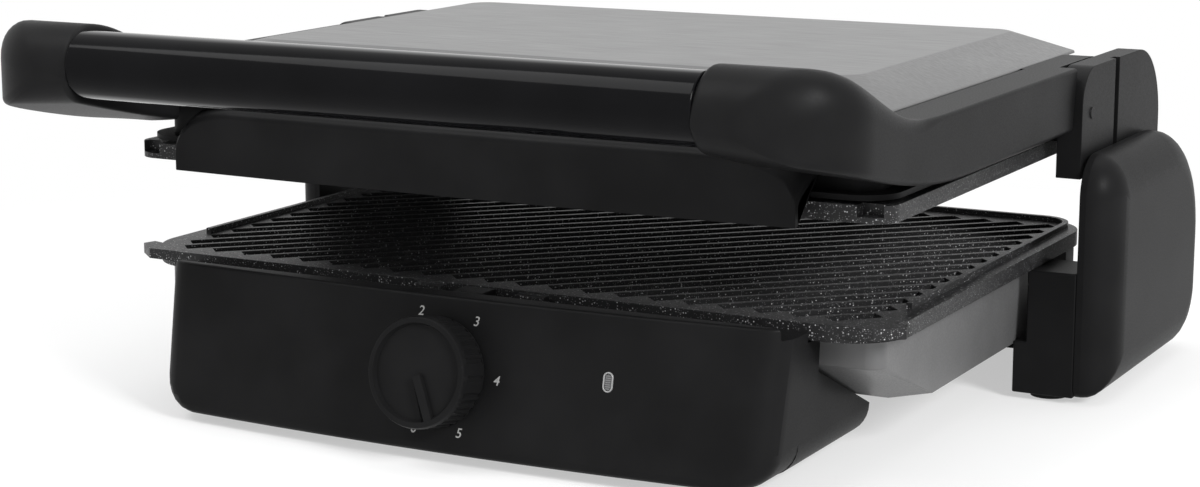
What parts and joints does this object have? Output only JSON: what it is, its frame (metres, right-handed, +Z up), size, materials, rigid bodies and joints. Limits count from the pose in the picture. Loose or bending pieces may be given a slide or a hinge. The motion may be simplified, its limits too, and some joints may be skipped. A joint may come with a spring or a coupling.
{
  "type": "electric indoor grill with lid",
  "caption": "Countertop electric contact grill with ribbed plates, a front dial, and a steel lid that slides up on guided cheeks and swings open by a tubular handle.",
  "frame": {"origin": "on the table under the middle of the whole grill", "axes": "+Z up, -Y towards the dial and handle, +X to the right seen from the front"},
  "size_m": [0.362, 0.345, 0.1465],
  "materials": {
    "black_plastic": "satin",
    "gloss_black": "gloss",
    "lid_steel": "satin",
    "pan_steel": "satin",
    "coated_plate": "matt, speckled",
    "plain_steel": "plain",
    "element_sheath": "oxidised",
    "ring_plastic": "gloss",
    "lens_plastic": "gloss",
    "ceramic": "matt",
    "rubber": "matt"
  },
  "bodies": {
    "base": {"front_housing": "black_plastic", "base_cover": "black_plastic", "base_pan": "pan_steel", "pod_left": "black_plastic", "pod_right": "black_plastic", "pod_block_left": "black_plastic", "pod_block_right": "black_plastic", "slide_guide_left": "plain_steel", "slide_guide_right": "plain_steel", "rear_beam": "black_plastic", "lower_plate": "coated_plate", "lower_element": "element_sheath", "lower_reflector": "plain_steel", "thermostat": "ceramic", "indicator_bezel": "ring_plastic", "indicator_lens": "lens_plastic", "indicator_lamp": "lens_plastic", "mains_gland": "rubber", "terminal_block": "ceramic", "feet": "rubber", "base_screws": "plain_steel"},
    "carriage": {"cheek_left": "black_plastic", "cheek_right": "black_plastic", "slide_shoe_left": "plain_steel", "slide_shoe_right": "plain_steel", "hinge_pin_left": "plain_steel", "hinge_pin_right": "plain_steel", "tie_bar": "black_plastic"},
    "lid": {"lid_cover": "lid_steel", "lid_liner": "black_plastic", "arm_left": "black_plastic", "arm_right": "black_plastic", "cap_left": "black_plastic", "cap_right": "black_plastic", "handle_tube": "gloss_black", "handle_rod": "plain_steel", "front_skirt": "black_plastic", "upper_plate": "coated_plate", "upper_element": "element_sheath", "upper_reflector": "plain_steel", "lid_screws": "plain_steel"},
    "dial": {"knob": "black_plastic", "selector_spindle": "plain_steel"},
    "lower_catch": {"lower_latch": "black_plastic"},
    "upper_catch": {"upper_latch": "black_plastic"}
  },
  "joints": [
    {"name": "lid_rise", "type": "slide", "parent": "base", "child": "carriage", "axis": [0, 0, 1], "range_m": [-0.0317, 0]},
    {"name": "lid_hinge", "type": "hinge", "parent": "carriage", "child": "lid", "pos_m": [0, 0.0955, 0.1055], "axis": [-1, 0, 0], "range_deg": [0, 100]},
    {"name": "dial_turn", "type": "hinge", "parent": "base", "child": "dial", "pos_m": [0, -0.12449, 0.0313], "axis": [0, -0.981, 0.1942], "range_deg": [0, 300]},
    {"name": "lower_catch_pull", "type": "slide", "parent": "base", "child": "lower_catch", "axis": [0, -1, 0], "range_m": [0, 0.0025], "stiffness_N_per_m": 600},
    {"name": "upper_catch_pull", "type": "slide", "parent": "lid", "child": "upper_catch", "axis": [0, -1, 0], "range_m": [0, 0.0025], "stiffness_N_per_m": 600}
  ]
}
